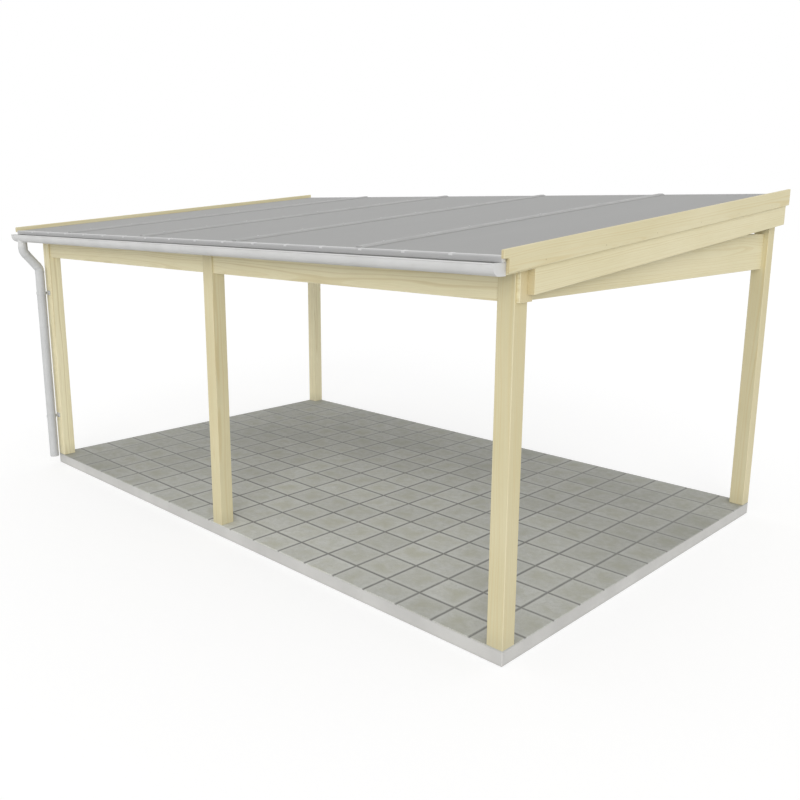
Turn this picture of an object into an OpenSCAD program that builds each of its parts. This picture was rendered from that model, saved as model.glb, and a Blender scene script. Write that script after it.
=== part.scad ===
// Sunroom frame: a lean-to timber frame with a low pent roof, on its own floor slab.
// X runs along the front, Y runs from the eaves to the house, Z is up.
// The origin is on the ground, in the middle of the slab.

/* [Floor] */
// Width of the floor slab, and of the room over the posts
room_w = 5634; // [4600:1:6800]
// Depth of the floor slab, from the eaves side to the house side
room_d = 3525; // [2800:1:4200]
// Thickness of the floor slab
slab_t = 100; // [60:1:160]

/* [Posts] */
// Side of each square post
post_s = 115; // [90:1:140]
// Clear height from the floor to the underside of the front beam
clear_h = 2004; // [1850:1:2300]
// Thickness of the post tongue that runs up in front of the beam
tongue_t = 15; // [10:1:30]

/* [Beams] */
// Thickness of the front beam
beam_t = 115; // [90:1:140]
// Height of the front beam
beam_h = 175; // [140:1:220]
// How far the front beam runs out past the corner posts
beam_end = 21; // [10:1:40]
// Thickness of the side beams
tie_t = 45; // [28:1:60]
// Height of the side beams
tie_h = 280; // [180:1:300]
// How far the side beams sit inside the outer faces of the posts
tie_inset = 38; // [5:1:50]
// Thickness of the back beam
back_t = 90; // [45:1:100]
// Height of the back beam
back_h = 180; // [140:1:240]

/* [Roof] */
// Pitch of the roof, in degrees
pitch = 5.1; // [3:0.1:8]
// Thickness of the rafters
rafter_t = 45; // [36:1:60]
// Height of the rafters, measured upright
rafter_h = 224; // [200:1:280]
// Height of the rafters where they pass over the front beam
rafter_heel = 84; // [70:1:110]
// How far behind the front of the beam the outer rafters get their full height
rafter_cut = 66; // [20:1:110]
// How far the rafter tails run out in front of the posts
overhang = 165; // [100:1:260]
// Thickness of the roof panels
panel_t = 16; // [10:1:32]
// How far the roof panels run out in front of the rafter tails
panel_nose = 42; // [10:1:60]
// Distance between the middles of the glazing bars
panel_pitch = 1225; // [1000:1:1300]
// Width of the glazing bars
bar_w = 70; // [50:1:90]
// Height of the glazing bars above the panels
bar_h = 14; // [8:1:24]
// Height of the bargeboards
barge_h = 125; // [100:1:180]
// Thickness of the bargeboards
barge_t = 18; // [12:1:30]
// How far the bargeboards stand above the rafters
barge_up = 51; // [36:1:70]

/* [Rainwater] */
// Width of the gutter
gutter_w = 110; // [90:1:132]
// Depth of the gutter
gutter_d = 70; // [66:1:90]
// Outer diameter of the downpipe
pipe_d = 84; // [60:1:87]
// Gap between the downpipe and the post behind it
pipe_gap = 35; // [20:1:60]
// Height of the bottom of the downpipe above the ground
pipe_foot = 95; // [20:1:200]

/* [Hidden] */
$fn = 64;

// Colours
timber = [0.86, 0.81, 0.62];
timber_shade = [0.80, 0.74, 0.55];
panel_grey = [0.68, 0.68, 0.67];
metal = [0.80, 0.80, 0.80];
zinc = [0.78, 0.79, 0.81];
stone = [0.62, 0.61, 0.58];

// Outer faces
side_x = room_w / 2;
front_y = -room_d / 2;
back_y = room_d / 2;

// Front beam, behind the post tongues
beam_z = slab_t + clear_h;
beam_top = beam_z + beam_h;
beam_front = front_y + tongue_t;
beam_back = beam_front + beam_t;

// Roof plane: the top line of the rafters
rise = tan(pitch);
function roof_z(y) = beam_top + rafter_heel + (y - beam_front) * rise;

// Rafters
tail_y = front_y - overhang;
inner_back_y = back_y - post_s;
rafter_in = side_x + beam_end;
rafter_out = rafter_in + rafter_t;
rafter_step_y = beam_front + rafter_cut;
back_beam_y = back_y - 12 - back_t;
back_beam_top = roof_z(back_beam_y) - 90;

// Side beams
tie_x = side_x - tie_inset - tie_t;
tie_z = beam_z - 3;
tie_top = tie_z + tie_h;
under_roof = 5;
tie_start = max(beam_back, front_y + post_s);
tie_cut_y = tie_start + max(1, (tie_top + under_roof - roof_z(tie_start)) / rise);

// Roof covering, measured along the slope
panel_front = tail_y - panel_nose;
panel_back = back_y - 6;
slope_len = (panel_back - panel_front) / cos(pitch);
trim_t = 3;
trim_lap = 25;
trim_drop = 14;
web_t = 10;
web_gap = 3;
side_gap = 4;

// Bargeboards
barge_nose = 55;
barge_lip = 7;
barge_nose_h = 45;
barge_back = 18;

// Gutter, against the rafter tails and between the bargeboards
gutter_t = 3;
gutter_r = gutter_w / 2;
gutter_y = tail_y - gutter_r;
gutter_top = roof_z(tail_y) - 19;
gutter_low = gutter_top - gutter_d;
gutter_mid = gutter_low + gutter_r;
gutter_short = 8;
gutter_x = rafter_out - gutter_short;
bead_r = 5;
hanger_w = 25;
hanger_t = 3;
hanger_z = gutter_top - 2 * bead_r - hanger_t;

// Downpipe, in front of the left-hand corner post
pipe_t = 3;
pipe_x = -side_x + 52;
pipe_y = front_y - pipe_gap - pipe_d / 2;
outlet_low = gutter_low - 65;
clip_fit = 0.3;
bend_a = 40;
bend_r = 70;
run_y = pipe_y - gutter_y;
bend_len = (run_y - 2 * bend_r * (1 - cos(bend_a))) / sin(bend_a);
bend_drop = 2 * bend_r * sin(bend_a) + bend_len * cos(bend_a);
offset_low = outlet_low - bend_drop;
clip_w = 25;
clip_t = 4;
clip_up_z = slab_t + clear_h * 0.82;
clip_low_z = slab_t + clear_h * 0.2;

// Extrudes a profile drawn in Y and Z over a width in X.
module along_x(x0, w) {
    translate([x0, 0, 0])
        rotate([90, 0, 90])
            linear_extrude(w)
                children();
}

// Places children on the roof plane: Y along the slope from the panels' front edge.
module on_roof() {
    translate([0, panel_front, roof_z(panel_front)])
        rotate([pitch, 0, 0])
            children();
}

// Floor slab
module floor_slab() {
    color(stone)
        translate([-side_x, front_y, 0])
            cube([room_w, room_d, slab_t]);
}

// Post under the front beam, with its tongue in front of the beam
module front_post(x0) {
    color(timber)
        along_x(x0, post_s)
            polygon([
                [front_y, slab_t],
                [front_y + post_s, slab_t],
                [front_y + post_s, beam_z],
                [beam_front, beam_z],
                [beam_front, beam_top],
                [front_y, beam_top]
            ]);
}

module post_front_left() { front_post(-side_x); }
module post_front_middle() { front_post(-post_s / 2); }
module post_front_right() { front_post(side_x - post_s); }

// Corner post at the house, cut off under the roof panels
module back_post(x0) {
    color(timber)
        along_x(x0, post_s)
            polygon([
                [inner_back_y, slab_t],
                [back_y, slab_t],
                [back_y, roof_z(back_y)],
                [inner_back_y, roof_z(inner_back_y)]
            ]);
}

module post_back_left() { back_post(-side_x); }
module post_back_right() { back_post(side_x - post_s); }

// Front beam on the shoulders of the three front posts
module front_beam() {
    color(timber)
        translate([-side_x - beam_end, beam_front, beam_z])
            cube([room_w + 2 * beam_end, beam_t, beam_h]);
}

// Back beam between the two back posts
module back_beam() {
    color(timber)
        translate([-side_x + post_s, back_beam_y, back_beam_top - back_h])
            cube([room_w - 2 * post_s, back_t, back_h]);
}

// Level beam along one side, with its top cut under the roof at the front
module side_beam(x0) {
    color(timber_shade)
        along_x(x0, tie_t)
            polygon([
                [tie_start, tie_z],
                [inner_back_y, tie_z],
                [inner_back_y, tie_top],
                [tie_cut_y, tie_top],
                [tie_start, min(tie_top, roof_z(tie_start) - under_roof)]
            ]);
}

module side_beam_left() { side_beam(-tie_x - tie_t); }
module side_beam_right() { side_beam(tie_x); }

// Inner rafter, seated on the front beam and on the back beam
module inner_rafter(xc) {
    color(timber)
        along_x(xc - rafter_t / 2, rafter_t)
            polygon([
                [tail_y, roof_z(tail_y)],
                [tail_y, roof_z(tail_y) - rafter_heel],
                [beam_front, beam_top],
                [beam_back, beam_top],
                [beam_back, roof_z(beam_back) - rafter_h],
                [back_beam_y, roof_z(back_beam_y) - rafter_h],
                [back_beam_y, back_beam_top],
                [back_y, back_beam_top],
                [back_y, roof_z(back_y)]
            ]);
}

// Outer rafter, against the end of the front beam
module outer_rafter(x0) {
    color(timber)
        along_x(x0, rafter_t)
            polygon([
                [tail_y, roof_z(tail_y)],
                [tail_y, roof_z(tail_y) - rafter_heel],
                [rafter_step_y, roof_z(rafter_step_y) - rafter_heel],
                [rafter_step_y, roof_z(rafter_step_y) - rafter_h],
                [back_y, roof_z(back_y) - rafter_h],
                [back_y, roof_z(back_y)]
            ]);
}

module rafter_1() { outer_rafter(-rafter_out); }
module rafter_2() { inner_rafter(-1.5 * panel_pitch); }
module rafter_3() { inner_rafter(-0.5 * panel_pitch); }
module rafter_4() { inner_rafter(0.5 * panel_pitch); }
module rafter_5() { inner_rafter(1.5 * panel_pitch); }
module rafter_6() { outer_rafter(rafter_in); }

// Packer between a back post and the outer rafter beside it
module rafter_packer(x0) {
    color(timber_shade)
        along_x(x0, beam_end)
            polygon([
                [inner_back_y, roof_z(inner_back_y) - rafter_h],
                [back_y, roof_z(back_y) - rafter_h],
                [back_y, roof_z(back_y)],
                [inner_back_y, roof_z(inner_back_y)]
            ]);
}

module rafter_packer_left() { rafter_packer(-rafter_in); }
module rafter_packer_right() { rafter_packer(side_x); }

// Roof panel between two X positions
module roof_panel(x0, x1) {
    color(panel_grey)
        on_roof()
            translate([x0, 0, 0])
                cube([x1 - x0, slope_len, panel_t]);
}

edge_gap = web_t / 2 + web_gap;
module roof_panel_1() { roof_panel(-rafter_out + side_gap, -1.5 * panel_pitch - edge_gap); }
module roof_panel_2() { roof_panel(-1.5 * panel_pitch + edge_gap, -0.5 * panel_pitch - edge_gap); }
module roof_panel_3() { roof_panel(-0.5 * panel_pitch + edge_gap, 0.5 * panel_pitch - edge_gap); }
module roof_panel_4() { roof_panel(0.5 * panel_pitch + edge_gap, 1.5 * panel_pitch - edge_gap); }
module roof_panel_5() { roof_panel(1.5 * panel_pitch + edge_gap, rafter_out - side_gap); }

// Glazing bar: a web on the rafter and a cap over the panel edges
module glazing_bar(xc) {
    color(metal)
        on_roof()
            translate([xc, slope_len - trim_lap, 0])
                rotate([90, 0, 0])
                    linear_extrude(slope_len - 2 * trim_lap)
                        polygon([
                            [-web_t / 2, 0],
                            [web_t / 2, 0],
                            [web_t / 2, panel_t],
                            [bar_w / 2, panel_t],
                            [bar_w / 2, panel_t + bar_h * 0.4],
                            [bar_w / 4, panel_t + bar_h],
                            [-bar_w / 4, panel_t + bar_h],
                            [-bar_w / 2, panel_t + bar_h * 0.4],
                            [-bar_w / 2, panel_t],
                            [-web_t / 2, panel_t]
                        ]);
}

module glazing_bar_1() { glazing_bar(-1.5 * panel_pitch); }
module glazing_bar_2() { glazing_bar(-0.5 * panel_pitch); }
module glazing_bar_3() { glazing_bar(0.5 * panel_pitch); }
module glazing_bar_4() { glazing_bar(1.5 * panel_pitch); }

// Bargeboard on the outer rafter, notched at the front over the gutter
module bargeboard(x0) {
    color(timber)
        along_x(x0, barge_t)
            polygon([
                [tail_y - barge_nose, roof_z(tail_y - barge_nose) + barge_up],
                [tail_y - barge_nose, roof_z(tail_y - barge_nose) + barge_up - barge_nose_h],
                [tail_y - barge_lip, roof_z(tail_y - barge_nose) + barge_up - barge_nose_h],
                [tail_y - barge_lip, roof_z(tail_y - barge_lip) + barge_up - barge_h],
                [back_y + barge_back, roof_z(back_y + barge_back) + barge_up - barge_h],
                [back_y + barge_back, roof_z(back_y + barge_back) + barge_up]
            ]);
}

module bargeboard_left() { bargeboard(-rafter_out - barge_t); }
module bargeboard_right() { bargeboard(rafter_out); }

// Metal profile over the front edge of the panels, with a drip leg into the gutter
module eaves_profile() {
    color(metal)
        on_roof()
            along_x(-rafter_out + side_gap, 2 * (rafter_out - side_gap))
                polygon([
                    [-trim_t, -trim_drop],
                    [0, -trim_drop],
                    [0, panel_t],
                    [trim_lap, panel_t],
                    [trim_lap, panel_t + trim_t],
                    [-trim_t, panel_t + trim_t]
                ]);
}

// Metal profile over the back edge of the panels
module ridge_profile() {
    color(metal)
        on_roof()
            along_x(-rafter_out + side_gap, 2 * (rafter_out - side_gap))
                polygon([
                    [slope_len - trim_lap, panel_t],
                    [slope_len, panel_t],
                    [slope_len, 0],
                    [slope_len + trim_t, 0],
                    [slope_len + trim_t, panel_t + trim_t],
                    [slope_len - trim_lap, panel_t + trim_t]
                ]);
}

// Outline of the trough: a round front with the given radius, a flat sole and a flat back
module trough(r) {
    intersection() {
        translate([gutter_y, gutter_mid])
            circle(r);
        translate([gutter_y - r, gutter_mid - r])
            square(r);
    }
    translate([gutter_y - r, gutter_mid])
        square([2 * r, gutter_top - gutter_mid]);
    translate([gutter_y, gutter_mid - r])
        square(r);
}

// Sheet of the trough between two places across it
module trough_sheet(y0, y1) {
    intersection() {
        difference() {
            trough(gutter_r);
            trough(gutter_r - gutter_t);
        }
        translate([y0, gutter_low - 1])
            square([y1 - y0, gutter_d + 1]);
    }
}

gutter_in = gutter_x - gutter_t;
// Where the sole of the gutter starts and ends, so that the outlet's hole lies within it
sole_front = gutter_y - pipe_d / 2;
sole_back = gutter_y + gutter_r - gutter_t;

// Round front of the gutter, with its rolled lip
module gutter_front() {
    color(zinc)
        along_x(-gutter_in, 2 * gutter_in) {
            trough_sheet(gutter_y - gutter_r - 1, sole_front);
            translate([gutter_y - gutter_r + gutter_t / 2, gutter_top - bead_r])
                circle(bead_r);
        }
}

// Bottom of the gutter, with the hole for the outlet
module gutter_sole() {
    color(zinc)
        difference() {
            along_x(-gutter_in, 2 * gutter_in)
                trough_sheet(sole_front, sole_back);
            translate([pipe_x, gutter_y, gutter_low - 1])
                cylinder(h = gutter_d / 2, d = pipe_d - 2 * pipe_t);
        }
}

// Flat back of the gutter, against the rafter tails
module gutter_back() {
    color(zinc)
        along_x(-gutter_in, 2 * gutter_in)
            trough_sheet(sole_back, gutter_y + gutter_r);
}

// Plate that closes one end of the gutter
module gutter_end(x0) {
    color(zinc)
        along_x(x0, gutter_t)
            trough(gutter_r);
}

module gutter_end_left() { gutter_end(-gutter_x); }
module gutter_end_right() { gutter_end(gutter_in); }

// Strap inside the gutter, under its lip and up against the end of one rafter tail
module gutter_hanger(xc) {
    along_x(xc - hanger_w / 2, hanger_w)
        intersection() {
            trough(gutter_r - gutter_t);
            union() {
                translate([gutter_y - gutter_r, hanger_z])
                    square([gutter_w, hanger_t]);
                translate([gutter_y + gutter_r - gutter_t - hanger_t, hanger_z])
                    square([hanger_t, gutter_top - 1 - hanger_z]);
            }
        }
}

module gutter_hangers() {
    color(zinc) {
        for (x = [-1.5, -0.5, 0.5, 1.5])
            gutter_hanger(x * panel_pitch);
        for (side = [-1, 1])
            gutter_hanger(side * (rafter_in + rafter_t / 2 - gutter_short));
    }
}

// Outlet under the gutter
module gutter_outlet() {
    color(zinc)
        difference() {
            translate([pipe_x, gutter_y, outlet_low])
                cylinder(h = gutter_mid - outlet_low, d = pipe_d);
            translate([pipe_x, gutter_y, outlet_low - 1])
                cylinder(h = gutter_mid - outlet_low + 2, d = pipe_d - 2 * pipe_t);
            along_x(pipe_x - pipe_d, 2 * pipe_d)
                trough(gutter_r);
        }
}

// Wall of the pipe, as a ring drawn around a point
module pipe_ring() {
    difference() {
        circle(d = pipe_d);
        circle(d = pipe_d - 2 * pipe_t);
    }
}

// Upper bend of the offset, from the outlet back towards the post
module downpipe_bend_upper() {
    color(zinc)
        translate([pipe_x, gutter_y + bend_r, outlet_low])
            rotate([90, 0, -90])
                rotate_extrude(angle = -bend_a)
                    translate([bend_r, 0])
                        pipe_ring();
}

// Slanting length between the two bends
module downpipe_slant() {
    color(zinc)
        translate([
            pipe_x,
            gutter_y + bend_r * (1 - cos(bend_a)),
            outlet_low - bend_r * sin(bend_a)
        ])
            rotate([bend_a, 0, 0])
                translate([0, 0, -bend_len])
                    linear_extrude(bend_len)
                        pipe_ring();
}

// Lower bend of the offset, down into the straight pipe
module downpipe_bend_lower() {
    color(zinc)
        translate([pipe_x, pipe_y - bend_r, offset_low])
            rotate([90, 0, 90])
                rotate_extrude(angle = bend_a)
                    translate([bend_r, 0])
                        pipe_ring();
}

// Straight downpipe
module downpipe() {
    color(zinc)
        translate([pipe_x, pipe_y, pipe_foot])
            difference() {
                cylinder(h = offset_low - pipe_foot, d = pipe_d);
                translate([0, 0, -1])
                    cylinder(h = offset_low - pipe_foot + 2, d = pipe_d - 2 * pipe_t);
            }
}

// Clip that holds the downpipe off the post
module pipe_clip(z) {
    color(zinc)
        translate([pipe_x, pipe_y, z])
            difference() {
                union() {
                    cylinder(h = clip_w, d = pipe_d + 2 * clip_t);
                    translate([-8, 0, 0])
                        cube([16, pipe_d / 2 + pipe_gap, clip_w]);
                    translate([-30, pipe_d / 2 + pipe_gap - clip_t, -10])
                        cube([60, clip_t, clip_w + 20]);
                }
                translate([0, 0, -1])
                    cylinder(h = clip_w + 2, d = pipe_d + 2 * clip_fit);
            }
}

module pipe_clip_upper() { pipe_clip(clip_up_z); }
module pipe_clip_lower() { pipe_clip(clip_low_z); }

floor_slab();
post_front_left();
post_front_middle();
post_front_right();
post_back_left();
post_back_right();
front_beam();
back_beam();
side_beam_left();
side_beam_right();
rafter_1();
rafter_2();
rafter_3();
rafter_4();
rafter_5();
rafter_6();
rafter_packer_left();
rafter_packer_right();
roof_panel_1();
roof_panel_2();
roof_panel_3();
roof_panel_4();
roof_panel_5();
glazing_bar_1();
glazing_bar_2();
glazing_bar_3();
glazing_bar_4();
bargeboard_left();
bargeboard_right();
eaves_profile();
ridge_profile();
gutter_front();
gutter_sole();
gutter_back();
gutter_end_left();
gutter_end_right();
gutter_hangers();
gutter_outlet();
downpipe_bend_upper();
downpipe_slant();
downpipe_bend_lower();
downpipe();
pipe_clip_upper();
pipe_clip_lower();
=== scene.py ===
"""The looks of the sunroom frame: planed timber, a tiled slab, grey roof sheets and rainwater goods.

Lengths are in metres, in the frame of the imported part, and places come from the CAD nodes' boxes.
"""

import math
import random

import bmesh
import bpy
from mathutils import Matrix, Vector


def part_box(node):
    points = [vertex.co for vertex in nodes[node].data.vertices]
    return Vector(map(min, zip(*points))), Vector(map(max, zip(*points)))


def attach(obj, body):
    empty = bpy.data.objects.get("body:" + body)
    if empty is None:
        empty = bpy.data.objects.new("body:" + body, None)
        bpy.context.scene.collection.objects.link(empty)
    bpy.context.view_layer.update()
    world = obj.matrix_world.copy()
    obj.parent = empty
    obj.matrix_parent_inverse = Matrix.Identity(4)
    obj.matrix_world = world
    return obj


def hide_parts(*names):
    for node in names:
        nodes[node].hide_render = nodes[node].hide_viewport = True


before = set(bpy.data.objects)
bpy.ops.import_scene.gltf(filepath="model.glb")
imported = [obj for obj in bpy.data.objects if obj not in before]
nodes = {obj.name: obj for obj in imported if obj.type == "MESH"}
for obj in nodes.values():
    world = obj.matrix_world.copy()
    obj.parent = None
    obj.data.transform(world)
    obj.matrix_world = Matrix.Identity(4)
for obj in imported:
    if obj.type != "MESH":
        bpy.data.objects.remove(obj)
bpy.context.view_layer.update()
rng = random.Random(7)

# ---------------------------------------------------------------- places, from the frame

RIGHT = Vector((1, 0, 0))
BACK = Vector((0, 1, 0))
UP = Vector((0, 0, 1))


def family(*starts):
    """The names of the CAD nodes that begin with one of these words, in order."""
    return sorted(name for name in nodes if name.startswith(starts))


def reach(name, direction):
    """How far a CAD node reaches along a direction, from the frame's origin."""
    return max(vert.co.dot(direction) for vert in nodes[name].data.vertices)


def upper_normal(name):
    """The normal of a CAD node's largest upward face."""
    upward = [face for face in nodes[name].data.polygons if face.normal.z > 0]
    return max(upward, key=lambda face: face.area).normal.copy()


def box_middle(name):
    """The middle of a CAD node's box."""
    low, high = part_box(name)
    return (low + high) / 2


slab_low, slab_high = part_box("floor_slab")
deck_z = slab_high.z

roof_up = upper_normal("roof_panel_3")
pitch = math.atan2(-roof_up.y, roof_up.z)
down_roof = Vector((0, -math.cos(pitch), -math.sin(pitch)))
panel_top = reach("roof_panel_3", roof_up)
eaves_edge = reach("roof_panel_3", down_roof)

bar_names = family("glazing_bar")
bar_low, bar_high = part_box(bar_names[0])
bar_half = (bar_high.x - bar_low.x) / 2
bar_places = [box_middle(name).x for name in bar_names]
bar_top = reach(bar_names[0], roof_up) - panel_top
bar_start = eaves_edge - reach(bar_names[0], down_roof)
bar_end = eaves_edge + reach(bar_names[0], -down_roof)

# the eaves profile: runs up the slope from the panels' front edge, and heights above the panels
lip_front = eaves_edge - reach("eaves_profile", down_roof)
lip_back = eaves_edge + reach("eaves_profile", -down_roof)
lip_top = reach("eaves_profile", roof_up) - panel_top
lip_foot = -reach("eaves_profile", -roof_up) - panel_top


def on_roof(x, run, height):
    """The point at x, run up the slope from the panels' front edge, and height above the panels."""
    return x * RIGHT + down_roof * (eaves_edge - run) + roof_up * (panel_top + height)


# how a member lies: the way of its length, and a way across it
LIES = {
    "along_x": (RIGHT, BACK),
    "along_y": (BACK, -RIGHT),
    "up_roof": (-down_roof, -RIGHT),
    "upright": (UP, BACK),
}


class Member:
    """A straight CAD node in its own axes: its length first, then two across it."""

    def __init__(self, name, lie):
        length, across = LIES[lie]
        self.axes = (length, across, length.cross(across))
        highs = Vector([reach(name, axis) for axis in self.axes])
        lows = Vector([-reach(name, -axis) for axis in self.axes])
        self.middle = (highs + lows) / 2
        self.half = (highs - lows) / 2
        self.turn = Matrix(self.axes).to_euler()


# ---------------------------------------------------------------- colours and shader helpers

def linear(r, g, b):
    """The linear colour of an 8-bit sRGB one."""
    return tuple(
        c / 12.92 if c <= 0.04045 else ((c + 0.055) / 1.055) ** 2.4
        for c in (r / 255, g / 255, b / 255)
    )


class Graph:
    """A material with one Principled shader, and short calls for the nodes in front of it."""

    def __init__(self, name, roughness, metallic=0.0, ior=1.45, specular=0.5):
        self.material = bpy.data.materials.new(name)
        self.material.use_nodes = True
        self.tree = self.material.node_tree
        self.shader = self.tree.nodes["Principled BSDF"]
        self.shader.inputs["Roughness"].default_value = roughness
        self.shader.inputs["Metallic"].default_value = metallic
        self.shader.inputs["IOR"].default_value = ior
        self.shader.inputs["Specular IOR Level"].default_value = specular

    def node(self, kind, settings=None, **inputs):
        node = self.tree.nodes.new(kind)
        for key, value in (settings or {}).items():
            setattr(node, key, value)
        for key, value in inputs.items():
            self.feed(node.inputs[key], value)
        return node

    def feed(self, socket, value):
        """Links a socket or a node to a socket, or sets the socket to a plain value."""
        if isinstance(value, bpy.types.NodeSocket):
            self.tree.links.new(value, socket)
        elif isinstance(value, bpy.types.Node):
            self.tree.links.new(value.outputs[0], socket)
        else:
            socket.default_value = value

    # vectors

    def place(self, turn=(0, 0, 0), scale=(1, 1, 1), shift=(0, 0, 0)):
        """Points of the part's own frame, scaled, then turned and moved."""
        spot = self.node("ShaderNodeTexCoord").outputs["Object"]
        return self.stretch(spot, scale, shift, turn)

    def stretch(self, spot, scale, shift=(0, 0, 0), turn=(0, 0, 0)):
        return self.node(
            "ShaderNodeMapping",
            Vector=spot,
            Scale=tuple(scale),
            Location=tuple(shift),
            Rotation=tuple(turn),
        )

    def vector_math(self, operation, *operands):
        node = self.node("ShaderNodeVectorMath", {"operation": operation})
        for slot, operand in enumerate(operands):
            self.feed(node.inputs[slot], operand)
        return node

    def dot(self, vector, axis):
        return self.vector_math("DOT_PRODUCT", vector, tuple(axis)).outputs["Value"]

    def length(self, vector):
        return self.vector_math("LENGTH", vector).outputs["Value"]

    # numbers

    def math(self, operation, a, b=0.0):
        node = self.node("ShaderNodeMath", {"operation": operation})
        self.feed(node.inputs[0], a)
        self.feed(node.inputs[1], b)
        return node.outputs[0]

    def times(self, a, b):
        return self.math("MULTIPLY", a, b)

    def absolute(self, value):
        return self.math("ABSOLUTE", value)

    def span(self, value, low, high, to_low=0.0, to_high=1.0):
        """value taken from low..high to to_low..to_high, and held there."""
        node = self.node("ShaderNodeMapRange", {"interpolation_type": "SMOOTHSTEP"})
        for slot, number in enumerate((value, low, high, to_low, to_high)):
            self.feed(node.inputs[slot], number)
        return node.outputs[0]

    def fade(self, value, start, end, full=1.0):
        """full up to start, falling to 0 at end."""
        return self.span(value, start, end, full, 0.0)

    def arris(self, spot, half, width):
        """1 on the edges of a box about the origin, falling to 0 at width away from them."""
        parts = self.node("ShaderNodeSeparateXYZ", Vector=spot).outputs
        gaps = [self.math("SUBTRACT", limit, self.absolute(part)) for limit, part in zip(half, parts)]
        nearer = self.math("MINIMUM", gaps[0], gaps[1])
        farther = self.math("MAXIMUM", gaps[0], gaps[1])
        second = self.math("MAXIMUM", nearer, self.math("MINIMUM", farther, gaps[2]))
        return self.fade(second, 0.0, width)

    # patterns

    def noise(self, vector, scale, detail, roughness, distortion=0.0):
        return self.node(
            "ShaderNodeTexNoise",
            Vector=vector,
            Scale=scale,
            Detail=detail,
            Roughness=roughness,
            Distortion=distortion,
        ).outputs[0]

    def layers(self, value, scale, detail, roughness):
        """Noise that changes with a single number."""
        return self.node(
            "ShaderNodeTexNoise",
            {"noise_dimensions": "1D"},
            W=value,
            Scale=scale,
            Detail=detail,
            Roughness=roughness,
        ).outputs[0]

    def cells(self, vector, scale):
        """How far it is to the nearest of many scattered points."""
        return self.node("ShaderNodeTexVoronoi", Vector=vector, Scale=scale).outputs["Distance"]

    # colours and the end

    def mix(self, share, a, b, blend="MIX"):
        """Colour a with a share of colour b."""
        node = self.node("ShaderNodeMix", {"data_type": "RGBA", "blend_type": blend})
        self.feed(node.inputs[0], share)
        for socket, value in ((node.inputs[6], a), (node.inputs[7], b)):
            self.feed(socket, (*value, 1) if isinstance(value, tuple) else value)
        return node.outputs[2]

    def finish(self, colour, height, depth, strength, roughness=None):
        """Joins the colour, the bumps and, where it varies, the roughness to the shader."""
        bump = self.node("ShaderNodeBump", Height=height, Distance=depth, Strength=strength)
        self.feed(self.shader.inputs["Base Color"], colour)
        self.feed(self.shader.inputs["Normal"], bump)
        if roughness is not None:
            self.feed(self.shader.inputs["Roughness"], roughness)
        return self.material


# ---------------------------------------------------------------- timber material

# members painted paler than the rest, a painted highlight for the brighter light that falls on them, and
# how far
PAINTED_LIGHT_SHARE = {
    "post_front_left": 0.95,
    "post_front_middle": 0.15,
    "post_back_left": 0.95,
    "front_beam": 0.65,
    "side_beam_right": 0.35,
    "rafter_6": 0.3,
    "bargeboard_right": 0.15,
}

SPRUCE = linear(217, 209, 175)
SPRUCE_DARK = linear(209, 201, 164)
SPRUCE_WARM = linear(214, 194, 142)
SPRUCE_PAINTED_LIGHT = linear(246, 238, 202)
LATE_WOOD = linear(207, 190, 142)
FIBRE = linear(198, 182, 138)
STREAK = linear(214, 192, 142)
KNOT_RIM = linear(208, 184, 132)
KNOT_HEART = linear(184, 154, 106)
END_GRAIN = linear(190, 172, 128)
WORN_AND_HIGHLIT_WOOD = linear(236, 229, 200)
SPLASHED_WOOD = linear(186, 178, 150)

PITH_ALONG = 1.0  # how far the pith may be shifted along the member
PITH_ASIDE = 0.07  # and to either side of its middle
HEART_SLANT = 0.35  # the heart's greatest slant, in its shrunk length
HEART_SHRINK = 0.035  # rings wander this much slower along the member than across it
RING_SWAY = 0.05
PALE_ARRIS_WIDTH = 0.005
SPLASH_HEIGHT = 0.14


def drawn_grain(look, spot, pith, pull, scale, detail, roughness):
    """Noise drawn out along the member: pull is how much slower it changes that way."""
    return look.noise(look.stretch(spot, (pull, 1, 1), pith), scale, detail, roughness)


def growth_rings(look, spot, pith, slant):
    """Rings about a heart that runs near the member, so each face shows its own figure."""
    shift = (-HEART_SHRINK * pith.x, -pith.y, -pith.z)
    heart = look.stretch(spot, (HEART_SHRINK, 1, 1), shift, slant)
    sway = drawn_grain(look, spot, pith, 0.12, scale=5.0, detail=2.0, roughness=0.5)
    radius = look.length(look.stretch(heart, (0, 1, 1)))
    radius = look.math("ADD", radius, look.times(sway, RING_SWAY))
    return look.layers(radius, scale=150.0, detail=3.0, roughness=0.6)


def add_knots(look, tone, spot, pith):
    """A few small knots, drawn out along the grain."""
    knot = look.cells(look.stretch(spot, (0.5, 1, 1), pith), scale=2.6)
    tone = look.mix(look.fade(knot, 0.02, 0.06, full=0.3), tone, KNOT_RIM)
    return look.mix(look.fade(knot, 0.012, 0.022, full=0.55), tone, KNOT_HEART)


def add_wear(look, tone, member, spot, streak, broad):
    """Darker end grain, arrises worn pale in uneven stretches, which also paints the highlight the edges
    catch, and splashes low on the posts.
    """
    normal = look.node("ShaderNodeNewGeometry").outputs["Normal"]
    endwise = look.absolute(look.dot(normal, member.axes[0]))
    tone = look.mix(look.span(endwise, 0.9, 0.98, to_high=0.5), tone, END_GRAIN)
    # paler arrises: partly wear, partly a painted highlight where the edges catch light
    arris = look.arris(spot, member.half, PALE_ARRIS_WIDTH)
    pale_share = look.times(arris, look.span(streak, 0.35, 0.6, to_high=0.5))
    tone = look.mix(pale_share, tone, WORN_AND_HIGHLIT_WOOD)
    low = look.fade(look.dot(look.place(), UP), deck_z, deck_z + SPLASH_HEIGHT)
    splash = look.times(low, look.span(broad, 0.2, 0.8, to_low=0.15, to_high=0.4))
    return look.mix(splash, tone, SPLASHED_WOOD)


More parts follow.
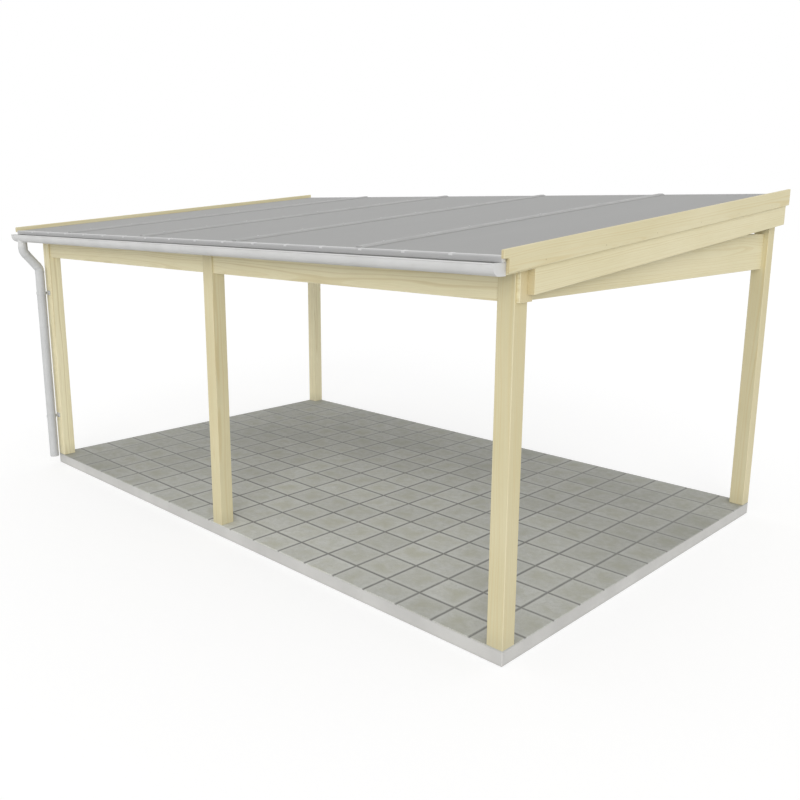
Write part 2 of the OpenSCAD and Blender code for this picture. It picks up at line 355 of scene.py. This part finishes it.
def timber(name, lie, warmth):
    """Planed spruce for one member, with its own rings, streaks and warmth."""
    look = Graph("timber_" + name, roughness=0.55)
    member = Member(name, lie)
    spot = look.place(turn=member.turn, shift=-member.middle)
    pith = Vector([rng.uniform(-most, most) for most in (PITH_ALONG, PITH_ASIDE, PITH_ASIDE)])
    slant = (0, rng.uniform(-HEART_SLANT, HEART_SLANT), rng.uniform(-HEART_SLANT, HEART_SLANT))
    rings = growth_rings(look, spot, pith, slant)
    fibre = drawn_grain(look, spot, pith, 0.02, scale=340.0, detail=3.0, roughness=0.6)
    broad = drawn_grain(look, spot, pith, 0.3, scale=3.1, detail=2.0, roughness=0.5)
    streak = drawn_grain(look, spot, pith, 0.05, scale=24.0, detail=3.0, roughness=0.6)

    tone = look.mix(look.span(broad, 0.3, 0.7), SPRUCE, SPRUCE_DARK)
    tone = look.mix(0.12 * warmth, tone, SPRUCE_WARM)
    # painted light: some members are mixed towards a paler spruce where brighter light falls on them
    tone = look.mix(PAINTED_LIGHT_SHARE.get(name, 0.0), tone, SPRUCE_PAINTED_LIGHT)
    ring_depth = look.span(broad, 0.25, 0.75, to_low=0.35, to_high=0.6 + 0.1 * warmth)
    tone = look.mix(look.times(look.span(rings, 0.42, 0.72), ring_depth), tone, LATE_WOOD)
    tone = look.mix(look.span(fibre, 0.42, 0.75, to_high=0.22), tone, FIBRE)
    tone = look.mix(look.span(streak, 0.55, 0.8, to_high=0.25), tone, STREAK)
    tone = add_knots(look, tone, spot, pith)
    tone = add_wear(look, tone, member, spot, streak, broad)

    height = look.math("ADD", look.times(rings, 0.6), look.times(fibre, 0.5))
    roughness = look.span(fibre, 0.3, 0.7, to_low=0.5, to_high=0.62)
    return look.finish(tone, height, depth=0.0004, strength=0.35, roughness=roughness)


# ---------------------------------------------------------------- slab materials

CONCRETE = linear(196, 195, 192)
CONCRETE_PALE = linear(207, 206, 203)
GRIT = linear(178, 177, 174)
DAMP = linear(160, 158, 152)
PORE = linear(150, 149, 146)
RUBBED_CONCRETE = linear(216, 215, 211)
DAMP_HEIGHT = 0.03
RUBBED_EDGE = 0.008

STONE = linear(227, 228, 224)
STONE_DARK = linear(213, 214, 208)
STONE_OLIVE = linear(206, 206, 191)
STONE_RIM = linear(236, 237, 234)
STONE_GRAIN = linear(178, 179, 172)
DARKEST_TILE = linear(166, 167, 161)
JOINT_DIRT = linear(142, 143, 138)
GROUT = linear(134, 134, 131)
GROUT_PALE = linear(154, 154, 150)

# an oval inside the front bays where a painted pool of light leaves the tiles palest
LIT_POOL_MIDDLE = Vector((0.7, -1.0, deck_z))
LIT_POOL_SHAPE = Vector((0.75, 1.0, 1.0))
LIT_POOL_CORE = 0.5  # as pale as this far from the middle
LIT_POOL_REACH = 2.5  # and at their most shaded from here on
POOL_EDGE_SHADE = (0.65, 0.65, 0.64)  # painted shade: what the stone's colour is multiplied by there


def concrete():
    """Pale cast edge of the slab, with clouds, pores, a rubbed top edge and a slightly damp foot."""
    look = Graph("slab_concrete", roughness=0.8)
    middle = (slab_low + slab_high) / 2
    spot = look.place(shift=-middle)
    clouds = look.noise(spot, scale=2.2, detail=5.0, roughness=0.6)
    grit = look.noise(spot, scale=160.0, detail=3.0, roughness=0.6)
    pits = look.span(look.cells(spot, scale=55.0), 0.03, 0.12)

    tone = look.mix(look.span(clouds, 0.3, 0.7), CONCRETE, CONCRETE_PALE)
    tone = look.mix(look.span(grit, 0.5, 0.8, to_high=0.25), tone, GRIT)
    foot = -middle.z
    damp = look.fade(look.dot(spot, UP), foot, foot + DAMP_HEIGHT, full=0.22)
    tone = look.mix(damp, tone, DAMP)
    tone = look.mix(look.fade(pits, 0.0, 1.0, full=0.3), tone, PORE)
    edge = look.arris(spot, (slab_high - slab_low) / 2, RUBBED_EDGE)
    pale_share = look.times(edge, look.span(grit, 0.4, 0.6, to_low=0.1, to_high=0.5))
    tone = look.mix(pale_share, tone, RUBBED_CONCRETE)

    height = look.math("ADD", look.times(grit, 0.4), pits)
    roughness = look.span(grit, 0.3, 0.7, to_low=0.72, to_high=0.88)
    return look.finish(tone, height, depth=0.0008, strength=0.4, roughness=roughness)


def from_tile_edge(look):
    """How far a point is from its tile's nearest edge, in tile widths."""
    uv = look.node("ShaderNodeUVMap", {"uv_map": "tile"}).outputs["UV"]
    parts = look.node("ShaderNodeSeparateXYZ", Vector=uv).outputs
    nearest = [look.math("MINIMUM", part, look.math("SUBTRACT", 1.0, part)) for part in parts[:2]]
    return look.math("MINIMUM", *nearest)


def away_from_lit_pool(look):
    """0 in the middle of the painted pool of light inside the front bays, rising to 1 at the far end of
    the tiles.
    """
    spot = look.place(scale=LIT_POOL_SHAPE, shift=-(LIT_POOL_MIDDLE * LIT_POOL_SHAPE))
    return look.span(look.length(spot), LIT_POOL_CORE, LIT_POOL_REACH)


def paving():
    """Tumbled stone tile: paler worn edges, olive clouds in the middle, its own tone for each tile."""
    look = Graph("tile_stone", roughness=0.7)
    tile_tone = look.node("ShaderNodeAttribute", {"attribute_name": "tile_tone"}).outputs["Fac"]
    # each tile is cut from another place in the stone
    cut = look.node("ShaderNodeCombineXYZ", X=look.times(tile_tone, 31.0), Y=tile_tone, Z=0.0)
    spot = look.vector_math("ADD", look.place(), cut)
    clouds = look.noise(spot, scale=7.0, detail=4.0, roughness=0.55, distortion=0.4)
    veins = look.noise(spot, scale=26.0, detail=5.0, roughness=0.65)
    grain = look.noise(spot, scale=120.0, detail=4.0, roughness=0.75)
    inward = from_tile_edge(look)

    stone = look.mix(look.span(veins, 0.3, 0.7), STONE, STONE_DARK)
    centre = look.span(inward, 0.08, 0.36, to_low=0.35)
    stone = look.mix(look.times(look.span(clouds, 0.3, 0.74), centre), stone, STONE_OLIVE)
    rim = look.fade(inward, 0.02, 0.16, full=0.5)
    stone = look.mix(look.times(rim, look.span(veins, 0.3, 0.6, to_low=0.35)), stone, STONE_RIM)
    stone = look.mix(look.span(grain, 0.48, 0.72, to_high=0.42), stone, STONE_GRAIN)
    stone = look.mix(look.span(tile_tone, 0.0, 1.0, to_high=0.2), stone, DARKEST_TILE)
    # painted light: the tiles are darkened with distance from the pool of light in the front bays
    stone = look.mix(away_from_lit_pool(look), stone, POOL_EDGE_SHADE, "MULTIPLY")
    # dirt that has worked into the tumbled edges
    dirt = look.span(veins, 0.3, 0.6, to_low=0.55, to_high=0.8)
    stone = look.mix(look.times(look.fade(inward, 0.02, 0.055), dirt), stone, JOINT_DIRT)

    height = look.math("ADD", look.times(grain, 0.35), veins)
    roughness = look.span(veins, 0.3, 0.7, to_low=0.6, to_high=0.8)
    return look.finish(stone, height, depth=0.0009, strength=0.45, roughness=roughness)


def grout():
    """Sandy cement between the tiles, darkened by dirt."""
    look = Graph("tile_grout", roughness=0.9)
    sand = look.noise(look.place(), scale=320.0, detail=2.0, roughness=0.7)
    tone = look.mix(look.span(sand, 0.35, 0.7), GROUT, GROUT_PALE)
    return look.finish(tone, sand, depth=0.0006, strength=0.5)


# ---------------------------------------------------------------- roof and metal materials

SHEET = linear(166, 166, 165)
SHEET_PALE = linear(171, 171, 170)
FLUTE_WALL = linear(144, 144, 143)
SHEET_DUST = linear(154, 152, 145)
SHEET_GRIME = linear(146, 143, 133)
PAINTED_HIGHLIGHT_METAL = linear(212, 212, 212)
COAT_RUN = linear(182, 180, 174)
RUBBER = linear(156, 156, 155)
RUBBER_PALE = linear(172, 172, 171)
PASSIVATED = linear(196, 182, 140)
PASSIVATED_DARK = linear(176, 162, 124)

FLUTE = 0.016  # from one wall inside the sheet to the next
GRIME_BESIDE_BAR = 0.03
GRIME_BEHIND_LIP = 0.06
METAL_SHARE = 0.3  # the rest is the milky oxide skin of outdoor aluminium
DRAWN_DARKER = 0.86  # the colour of aluminium in its drawing lines, against its plain colour
COAT_CLOUD = 7  # levels between the coat's palest and its dullest
HIGHLIGHT_FADE = 0.002  # over which the painted highlight on top of a profile fades in


def roof_grime(look, spot, across, film):
    """Grime that gathers beside the glazing bars and behind the eaves profile."""
    beside = None
    for x in bar_places:
        gap = look.absolute(look.math("SUBTRACT", across, x))
        beside = gap if beside is None else look.math("MINIMUM", beside, gap)
    lip = eaves_edge - lip_back
    grime = look.math(
        "MAXIMUM",
        look.fade(beside, bar_half, bar_half + GRIME_BESIDE_BAR),
        look.span(look.dot(spot, down_roof), lip - GRIME_BEHIND_LIP, lip),
    )
    return look.times(grime, look.span(film, 0.3, 0.6, to_low=0.04, to_high=0.14))


def roof_sheet():
    """Grey multiwall sheet: its flutes run down the slope and show as faint ribs."""
    look = Graph("roof_sheet", roughness=0.66, specular=0.22)
    spot = look.place()
    across = look.dot(spot, RIGHT)
    phase = look.math("FRACT", look.math("DIVIDE", across, FLUTE))
    wall = look.fade(look.absolute(look.math("SUBTRACT", phase, 0.5)), 0.0, 0.09)
    film = look.noise(look.stretch(spot, (1, 0.25, 1)), scale=2.6, detail=4.0, roughness=0.6)
    dust = look.noise(spot, scale=70.0, detail=3.0, roughness=0.6)

    tone = look.mix(look.span(film, 0.3, 0.7), SHEET, SHEET_PALE)
    tone = look.mix(look.times(wall, 0.16), tone, FLUTE_WALL)
    tone = look.mix(look.span(dust, 0.52, 0.8, to_high=0.1), tone, SHEET_DUST)
    tone = look.mix(roof_grime(look, spot, across, film), tone, SHEET_GRIME)
    roughness = look.span(film, 0.3, 0.7, to_low=0.62, to_high=0.72)
    return look.finish(tone, wall, depth=0.0003, strength=0.25, roughness=roughness)


def drawn_place(look, along, pull):
    """Points of the part's frame in which noise is drawn out along one axis."""
    return look.place(scale=[pull if axis == along else 1.0 for axis in "xyz"])


def mill_metal(name, grey, roughness, along, highlight_from=None):
    """Extruded aluminium with drawing lines along one axis, and a painted highlight above a height on
    the roof.
    """
    look = Graph(name, roughness=roughness, metallic=METAL_SHARE)
    bright = linear(*grey)
    dark = tuple(c * DRAWN_DARKER for c in bright)
    lines = look.noise(drawn_place(look, along, 0.01), scale=900.0, detail=2.0, roughness=0.6)
    haze = look.noise(look.place(), scale=5.0, detail=3.0, roughness=0.6)
    tone = look.mix(look.span(lines, 0.35, 0.75, to_high=0.5), bright, dark)
    tone = look.mix(look.span(haze, 0.45, 0.7, to_high=0.25), tone, dark)
    # painted highlight: the top of the profile is painted bright where light falls on it
    if highlight_from is not None:
        height = look.dot(look.place(), roof_up)
        pale_share = look.span(height, highlight_from, highlight_from + HIGHLIGHT_FADE, to_high=0.6)
        tone = look.mix(pale_share, tone, PAINTED_HIGHLIGHT_METAL)
    rough = look.span(haze, 0.3, 0.7, to_low=roughness - 0.06, to_high=roughness + 0.08)
    return look.finish(tone, lines, depth=0.0001, strength=0.15, roughness=rough)


def coated_metal(name, grey, along):
    """Sheet metal with a pale satin coat, a little dust and faint runs."""
    look = Graph(name, roughness=0.4, ior=1.5)
    greyer = [level - COAT_CLOUD for level in grey]
    runs = look.noise(drawn_place(look, along, 0.15), scale=38.0, detail=4.0, roughness=0.6)
    haze = look.noise(look.place(), scale=4.0, detail=3.0, roughness=0.6)
    peel = look.noise(look.place(), scale=420.0, detail=1.0, roughness=0.5)
    tone = look.mix(look.span(haze, 0.3, 0.7), linear(*grey), linear(*greyer))
    tone = look.mix(look.span(runs, 0.55, 0.8, to_high=0.3), tone, COAT_RUN)
    roughness = look.span(haze, 0.3, 0.7, to_low=0.34, to_high=0.48)
    return look.finish(tone, peel, depth=0.00015, strength=0.2, roughness=roughness)


def grey_rubber():
    """Weathered grey rubber, for the gaskets and the screws' washers."""
    look = Graph("gasket_rubber", roughness=0.7)
    fine = look.noise(look.place(), scale=300.0, detail=2.0, roughness=0.6)
    tone = look.mix(fine, RUBBER, RUBBER_PALE)
    return look.finish(tone, fine, depth=0.0002, strength=0.3)


def screw_steel():
    """Yellow-passivated steel, for the screws in the timber."""
    look = Graph("screw_steel", roughness=0.4, metallic=METAL_SHARE)
    haze = look.noise(look.place(), scale=160.0, detail=2.0, roughness=0.6)
    tone = look.mix(haze, PASSIVATED, PASSIVATED_DARK)
    return look.finish(tone, haze, depth=0.0001, strength=0.2)


# ---------------------------------------------------------------- shape helpers

WELD_GAP = 0.00002
ARRIS_ANGLE = math.radians(40)  # sharper edges than this are rounded


def dress(name, material, bevel=0.0):
    """Gives a CAD node its material and rounds its arrises without touching its own mesh."""
    node = nodes[name]
    if not node.material_slots:
        node.data.materials.append(material)
    for slot in node.material_slots:
        slot.material = material
    weld = node.modifiers.new("weld", "WELD")
    weld.merge_threshold = WELD_GAP
    if bevel:
        arris = node.modifiers.new("arris", "BEVEL")
        arris.width = bevel
        arris.segments = 2
        arris.limit_method = "ANGLE"
        arris.angle_limit = ARRIS_ANGLE
        arris.use_clamp_overlap = True
    normals = node.modifiers.new("normals", "WEIGHTED_NORMAL")
    normals.keep_sharp = True


def add_to_scene(name, data):
    ob = bpy.data.objects.new(name, data)
    bpy.context.scene.collection.objects.link(ob)
    return ob


def piece(name, bm, materials):
    """A new piece from a bmesh, riding on the frame."""
    bmesh.ops.recalc_face_normals(bm, faces=bm.faces)
    mesh = bpy.data.meshes.new(name)
    bm.to_mesh(mesh)
    bm.free()
    ob = add_to_scene(name, mesh)
    for material in materials:
        mesh.materials.append(material)
    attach(ob, "root")
    return ob


def block(bm, low, high, chamfer=0.0):
    """An upright box from low to high with chamfered edges. Returns its faces."""
    low = Vector(low)
    high = Vector(high)
    verts = bmesh.ops.create_cube(bm, size=1.0)["verts"]
    for vert in verts:
        vert.co = vert.co * (high - low) + (high + low) / 2
    if chamfer:
        edges = list({edge for vert in verts for edge in vert.link_edges})
        cut = bmesh.ops.bevel(bm, geom=edges, offset=chamfer, segments=1, affect="EDGES", profile=0.5)
        verts = [vert for face in cut["faces"] for vert in face.verts]
    return list({face for vert in verts for face in vert.link_faces})


def prism(bm, near, far):
    """A solid between two matching outlines."""
    ends = [[bm.verts.new(point) for point in outline] for outline in (near, far)]
    for end in ends:
        bm.faces.new(end)
    for k in range(len(near)):
        bm.faces.new((ends[0][k], ends[0][k - 1], ends[1][k - 1], ends[1][k]))


def roof_prism(bm, outline, low_x, high_x):
    """A solid from low_x to high_x, with an outline of (run up the roof, height) pairs."""
    near, far = ([on_roof(x, run, height) for run, height in outline] for x in (low_x, high_x))
    prism(bm, near, far)


def ring(radius, height, steps):
    """Points round local Z, or a single point where the radius is 0."""
    if radius == 0:
        return [Vector((0, 0, height))]
    turns = [math.tau * k / steps for k in range(steps)]
    return [Vector((radius * math.cos(turn), radius * math.sin(turn), height)) for turn in turns]


def lathe(bm, outline, place, steps=16, index=0):
    """A turned shape: outline is (radius, height) pairs from the foot to the top, about local Z."""
    rings = [
        [bm.verts.new(place @ point) for point in ring(radius, height, steps)]
        for radius, height in outline
    ]
    for lower, upper in zip(rings, rings[1:]):
        for k in range(steps):
            after = (k + 1) % steps
            tip = [upper[0]] if len(upper) == 1 else [upper[after], upper[k]]
            face = bm.faces.new([lower[k], lower[after], *tip])
            face.material_index = index


def facing(point, direction):
    """The matrix that puts local Z along direction at a point."""
    turn = Vector(direction).to_track_quat("Z", "Y").to_matrix().to_4x4()
    return Matrix.Translation(Vector(point)) @ turn


# ---------------------------------------------------------------- camera and light

def make_camera():
    """The photo's camera, solved from its straight edges."""
    camera = bpy.data.cameras.new("camera")
    camera.sensor_width = 36.0
    camera.lens = 38.0
    camera.shift_x = 0.0341
    camera.shift_y = -0.0170
    ob = add_to_scene("camera", camera)
    ob.location = (5.414, -5.411, 2.611)
    ob.rotation_euler = (math.radians(77.83), 0, math.radians(45))
    bpy.context.scene.camera = ob


def soft_sun(name, azimuth, elevation, strength, softness, highlight=True):
    """A distant soft lamp. azimuth turns from the front, -Y, towards the right, +X, in degrees."""
    lamp = bpy.data.lights.new(name, "SUN")
    lamp.energy = strength
    lamp.angle = math.radians(softness)
    turn = math.radians(azimuth)
    rise = math.radians(elevation)
    level = Vector((math.sin(turn), -math.cos(turn), 0)) * math.cos(rise)
    source = level + UP * math.sin(rise)
    ob = add_to_scene(name, lamp)
    ob.rotation_euler = source.to_track_quat("Z", "Y").to_euler()
    ob.visible_glossy = highlight


def choose(tree, seen, socket, others, camera):
    """Sets a socket to camera where seen is 1, and to others where it is 0."""
    node = tree.nodes.new("ShaderNodeMapRange")
    node.inputs["To Min"].default_value = others
    node.inputs["To Max"].default_value = camera
    tree.links.new(seen, node.inputs["Value"])
    tree.links.new(node.outputs[0], socket)


def make_world(level):
    """Even pale light all round. The camera, metal and glass see plain white behind the object."""
    world = bpy.data.worlds.new("studio")
    bpy.context.scene.world = world
    world.use_nodes = True
    tree = world.node_tree
    background = tree.nodes["Background"]
    background.inputs["Color"].default_value = (1, 1, 1, 1)
    path = tree.nodes.new("ShaderNodeLightPath")
    seen = path.outputs["Is Camera Ray"]
    for ray in ("Is Glossy Ray", "Is Transmission Ray"):
        either = tree.nodes.new("ShaderNodeMath")
        either.operation = "MAXIMUM"
        tree.links.new(seen, either.inputs[0])
        tree.links.new(path.outputs[ray], either.inputs[1])
        seen = either.outputs[0]
    choose(tree, seen, background.inputs["Strength"], others=level, camera=1.0)


FLOOR_RADIUS = 60.0
FLOOR_DROP = 0.001  # below the slab's underside


def make_floor(albedo, seen_albedo, glow):
    """White floor that keeps the object's shadow. The camera sees seen_albedo, lit, and a glow."""
    bm = bmesh.new()
    bmesh.ops.create_circle(bm, cap_ends=True, segments=96, radius=FLOOR_RADIUS)
    mesh = bpy.data.meshes.new("studio_floor")
    bm.to_mesh(mesh)
    bm.free()
    ob = add_to_scene("studio_floor", mesh)
    ob.location.z = -FLOOR_DROP
    material = bpy.data.materials.new("studio_floor")
    material.use_nodes = True
    tree = material.node_tree
    shader = tree.nodes["Principled BSDF"]
    shader.inputs["Roughness"].default_value = 1.0
    shader.inputs["Specular IOR Level"].default_value = 0.0
    shader.inputs["Emission Color"].default_value = (1, 1, 1, 1)
    seen = tree.nodes.new("ShaderNodeLightPath").outputs["Is Camera Ray"]
    choose(tree, seen, shader.inputs["Base Color"], others=albedo, camera=seen_albedo)
    choose(tree, seen, shader.inputs["Emission Strength"], others=0.0, camera=glow)
    mesh.materials.append(material)


bpy.context.scene.view_settings.view_transform = "Standard"
make_camera()
make_world(level=0.75)
make_floor(albedo=0.8, seen_albedo=0.4, glow=0.672)
soft_sun("key", azimuth=42, elevation=24, strength=0.75, softness=35)
soft_sun("low", azimuth=38, elevation=8, strength=0.62, softness=20, highlight=False)


# ---------------------------------------------------------------- timber

TIMBER_ARRIS = 0.003
BOARD_SCREW_SPACING = 0.61
BOARD_SCREW_EDGE = 0.028  # from the board's lower edge
BOARD_SCREW = [(0.0042, -0.0005), (0.0042, 0.00003), (0, 0.00003)]  # a head that is all but flush

LIE_OF = {
    "post": "upright",
    "front": "along_x",
    "back": "along_x",
    "side": "along_y",
    "rafter": "up_roof",
    "bargeboard": "up_roof",
}
for name in sorted(nodes):
    kind = name.split("_")[0]
    if kind in LIE_OF:
        dress(name, timber(name, LIE_OF[kind], warmth=rng.random()), bevel=TIMBER_ARRIS)


def make_board_screws():
    """Countersunk screws through each bargeboard into the rafter behind it."""
    bm = bmesh.new()
    for name in family("bargeboard"):
        low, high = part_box(name)
        outward = 1 if low.x > 0 else -1
        face_x = high.x if low.x > 0 else low.x
        length = Member(name, "up_roof").half.x * 2
        foot = eaves_edge - reach(name, down_roof)
        height = -reach(name, -roof_up) + BOARD_SCREW_EDGE - panel_top
        count = int(length / BOARD_SCREW_SPACING)
        first = foot + (length - (count - 1) * BOARD_SCREW_SPACING) / 2
        for k in range(count):
            point = on_roof(face_x, first + k * BOARD_SCREW_SPACING, height)
            lathe(bm, BOARD_SCREW, facing(point, (outward, 0, 0)), steps=12)
    piece("board_screws", bm, [screw_steel()])


make_board_screws()


# ---------------------------------------------------------------- floor

TILE = 0.3  # from the middle of one joint to the middle of the next
FIRST_COLUMN = 0.291  # from the slab's left edge to the middle of the first joint
FIRST_ROW = 0.297  # and from its back edge
JOINTS = (0.013, 0.010)  # the widths that the joints take in turn
LEAST_STRIP = 0.02  # anything narrower at the end joins the tile before it
TILE_T = 0.008
TILE_CHAMFER = 0.001
MOST_SUNK = 0.0004  # how far a tile may lie below the deck
GROUT_DROP = 0.0012
GROUT_INSET = 0.002
SLAB_CHAMFER = 0.004


def tile_edges(start, end, first):
    """The low edge, the high edge and the start of the pattern of each tile between two sides."""
    way = 1 if end > start else -1
    tiles = []
    near = start
    pattern = start
    line = start + way * first
    while (end - line) * way > LEAST_STRIP:
        half_joint = JOINTS[len(tiles) % len(JOINTS)] / 2
        tiles.append((near, line - way * half_joint, pattern))
        near = line + way * half_joint
        pattern = line
        line += way * TILE
    tiles.append((near, end, pattern))
    pattern_shift = 0 if way > 0 else -TILE
    return [(min(a, b), max(a, b), origin + pattern_shift) for a, b, origin in tiles]


def make_slab_body():
    bm = bmesh.new()
    top = (slab_high.x, slab_high.y, deck_z - TILE_T)
    block(bm, slab_low, top, SLAB_CHAMFER)
    body = piece("slab_body", bm, [concrete()])
    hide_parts("floor_slab")


def make_grout():
    bm = bmesh.new()
    low = (slab_low.x + GROUT_INSET, slab_low.y + GROUT_INSET, deck_z - TILE_T)
    high = (slab_high.x - GROUT_INSET, slab_high.y - GROUT_INSET, deck_z - GROUT_DROP)
    block(bm, low, high)
    piece("slab_grout", bm, [grout()])


def make_floor_tiles():
    """Tiles that start at the left and at the back, each with its own tone and a little sunk."""
    bm = bmesh.new()
    tone = bm.faces.layers.float.new("tile_tone")
    uv = bm.loops.layers.uv.new("tile")
    rows = tile_edges(slab_high.y, slab_low.y, FIRST_ROW)
    for x0, x1, u0 in tile_edges(slab_low.x, slab_high.x, FIRST_COLUMN):
        for y0, y1, v0 in rows:
            level = rng.random()
            sink = rng.uniform(0.0, MOST_SUNK)
            for face in block(bm, (x0, y0, deck_z - TILE_T), (x1, y1, deck_z - sink), TILE_CHAMFER):
                face[tone] = level
                for loop in face.loops:
                    corner = loop.vert.co
                    loop[uv].uv = ((corner.x - u0) / TILE, (corner.y - v0) / TILE)
    piece("floor_tiles", bm, [paving()])


make_slab_body()
make_grout()
make_floor_tiles()


# ---------------------------------------------------------------- roof

BAR_SCREWS = 9  # in each glazing bar
# (radius, height) outlines of one of them, from its washer to its head
WASHER = [(0.0085, -0.0005), (0.0085, 0.0012), (0.0078, 0.0016)]
FLANGE = [(0.0078, 0.0014), (0.0076, 0.0022), (0.0050, 0.0028)]
HEXAGON = [(0.0050, 0.0026), (0.0048, 0.0058), (0.0036, 0.0066), (0, 0.0066)]

GASKET_W = 0.0035
GASKET_H = 0.0022
GASKET_TIP_H = 0.00088
GASKET_TUCK = 0.002  # under the bar's edge
GASKET_SINK = 0.0002  # into the panel's face
GASKET_END_GAP = 0.004

CLIP_SPACING = 0.34
CLIP_W = 0.026
CLIP_T = 0.0009
CLIP_FOOT = 0.012  # how far it lies on the panel
CLIP_DROP = 0.011  # how far it hangs down in front

CAP_T = 0.0022
CAP_OVER = 0.0012  # how far an end cap stands past the profile's outline
# how deep the painted highlight along the top of the eaves profile reaches
HIGHLIGHT_BAND = 0.008


def make_bar_screws(metal, rubber):
    """Washer-head screws down the middle of each glazing bar, on a rubber washer."""
    bm = bmesh.new()
    for x in bar_places:
        for k in range(BAR_SCREWS):
            run = bar_start + (bar_end - bar_start) * (k + 0.5) / BAR_SCREWS
            place = facing(on_roof(x, run, bar_top), roof_up)
            lathe(bm, WASHER, place, index=1)
            lathe(bm, FLANGE, place)
            lathe(bm, HEXAGON, place, steps=6)
    piece("bar_screws", bm, [metal, rubber])


def make_gaskets(rubber):
    """Rubber lips where the glazing bars press on the panels."""
    bm = bmesh.new()
    for x in bar_places:
        for side in (-1, 1):
            root = x + side * (bar_half - GASKET_TUCK)
            tip = x + side * (bar_half + GASKET_W)
            outline = [(root, -GASKET_SINK), (tip, -GASKET_SINK), (tip, GASKET_TIP_H), (root, GASKET_H)]
            near, far = (
                [on_roof(across, run, height) for across, height in outline]
                for run in (bar_start + GASKET_END_GAP, bar_end - GASKET_END_GAP)
            )
            prism(bm, near, far)
    piece("bar_gaskets", bm, [rubber])


def make_eaves_clips(metal):
    """Thin spring clips folded over the lip of the eaves profile, that hold it on the panels."""
    low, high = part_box("eaves_profile")
    inner = [
        (lip_front, lip_top - CLIP_DROP),
        (lip_front, lip_top),
        (lip_back, lip_top),
        (lip_back, 0),
        (lip_back + CLIP_FOOT, 0),
    ]
    outer = [
        (lip_back + CLIP_FOOT, CLIP_T),
        (lip_back + CLIP_T, CLIP_T),
        (lip_back + CLIP_T, lip_top + CLIP_T),
        (lip_front - CLIP_T, lip_top + CLIP_T),
        (lip_front - CLIP_T, lip_top - CLIP_DROP),
    ]
    count = int((high.x - low.x) / CLIP_SPACING)
    bm = bmesh.new()
    for k in range(count):
        x = (k - (count - 1) / 2) * CLIP_SPACING
        roof_prism(bm, inner + outer, x - CLIP_W / 2, x + CLIP_W / 2)
    piece("eaves_clips", bm, [metal])


def make_eaves_caps(metal):
    """A thin plate on each end of the eaves profile."""
    low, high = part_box("eaves_profile")
    front = lip_front - CAP_OVER
    back = lip_back + CAP_OVER
    foot = lip_foot - CAP_OVER
    top = lip_top + CAP_OVER
    outline = [(front, foot), (back, foot), (back, top), (front, top)]
    bm = bmesh.new()
    roof_prism(bm, outline, low.x, low.x - CAP_T)
    roof_prism(bm, outline, high.x, high.x + CAP_T)
    piece("eaves_caps", bm, [metal])


sheet = roof_sheet()
rubber = grey_rubber()
bar_metal = mill_metal("bar_metal", (170, 170, 169), 0.45, "y")
edge_metal = mill_metal("edge_metal", (206, 206, 206), 0.4, "x")
clip_metal = mill_metal("clip_metal", (226, 226, 226), 0.35, "x")
highlight_from = reach("eaves_profile", roof_up) - HIGHLIGHT_BAND
eaves_metal = mill_metal("eaves_metal", (194, 194, 194), 0.4, "x", highlight_from)

for name in family("roof_panel"):
    dress(name, sheet, bevel=0.001)
for name in bar_names:
    dress(name, bar_metal, bevel=0.0012)
dress("eaves_profile", eaves_metal, bevel=0.0006)
dress("ridge_profile", edge_metal, bevel=0.0006)
make_bar_screws(edge_metal, rubber)
make_gaskets(rubber)
make_eaves_clips(clip_metal)
make_eaves_caps(clip_metal)


# ---------------------------------------------------------------- rainwater goods

BEND = math.radians(40)  # turn of each bend of the swan neck
SOCKET_SWELL = 0.0018
SOCKET_LENGTH = 0.022
SOCKET_TUCK = 0.0005  # into the pipe's wall
PIPE_CLIP_PLATE_T = 0.004
PIPE_CLIP_SCREW_ASIDE = 0.022
DOME = [(0.0046, -0.0003), (0.0046, 0.0008), (0.0038, 0.0021), (0.0020, 0.0027), (0, 0.0028)]


def socket_joints():
    """The mouth of each swaged ring, and the way it runs from there."""
    slope = BACK * math.sin(BEND) - UP * math.cos(BEND)
    half = slope * (reach("downpipe_slant", slope) + reach("downpipe_slant", -slope)) / 2
    slant = box_middle("downpipe_slant")
    outlet = box_middle("gutter_outlet")
    outlet.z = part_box("gutter_outlet")[0].z
    pipe = box_middle("downpipe")
    pipe.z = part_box("downpipe")[1].z
    return ((outlet, UP), (slant - half, slope), (slant + half, -slope), (pipe, -UP))


def make_pipe_sockets(metal):
    """Swaged rings where the outlet, the bends and the pipes push into one another."""
    low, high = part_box("downpipe")
    radius = (high.x - low.x) / 2
    outline = [
        (radius - SOCKET_TUCK, -0.001),
        (radius + SOCKET_SWELL, 0.001),
        (radius + SOCKET_SWELL, SOCKET_LENGTH - 0.003),
        (radius + SOCKET_SWELL / 3, SOCKET_LENGTH),
        (radius - SOCKET_TUCK, SOCKET_LENGTH),
    ]
    bm = bmesh.new()
    for point, direction in socket_joints():
        lathe(bm, outline, facing(point, direction), steps=48)
    piece("pipe_sockets", bm, [metal])


def make_clip_screws(metal):
    """Two pan-head screws through the back plate of each pipe clip."""
    bm = bmesh.new()
    for name in family("pipe_clip"):
        middle = box_middle(name)
        plate_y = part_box(name)[1].y - PIPE_CLIP_PLATE_T
        for side in (-1, 1):
            point = (middle.x + side * PIPE_CLIP_SCREW_ASIDE, plate_y, middle.z)
            lathe(bm, DOME, facing(point, -BACK))
    piece("clip_screws", bm, [metal])


gutter_coat = coated_metal("gutter_coat", (212, 212, 211), "x")
pipe_coat = coated_metal("pipe_coat", (203, 204, 204), "z")
dress("gutter_outlet", gutter_coat)
for name in family("gutter_front", "gutter_sole", "gutter_back", "gutter_end", "gutter_hangers"):
    dress(name, gutter_coat, bevel=0.0005)
for name in family("downpipe"):
    dress(name, pipe_coat)
for name in family("pipe_clip"):
    dress(name, pipe_coat, bevel=0.0006)
make_pipe_sockets(pipe_coat)
make_clip_screws(clip_metal)
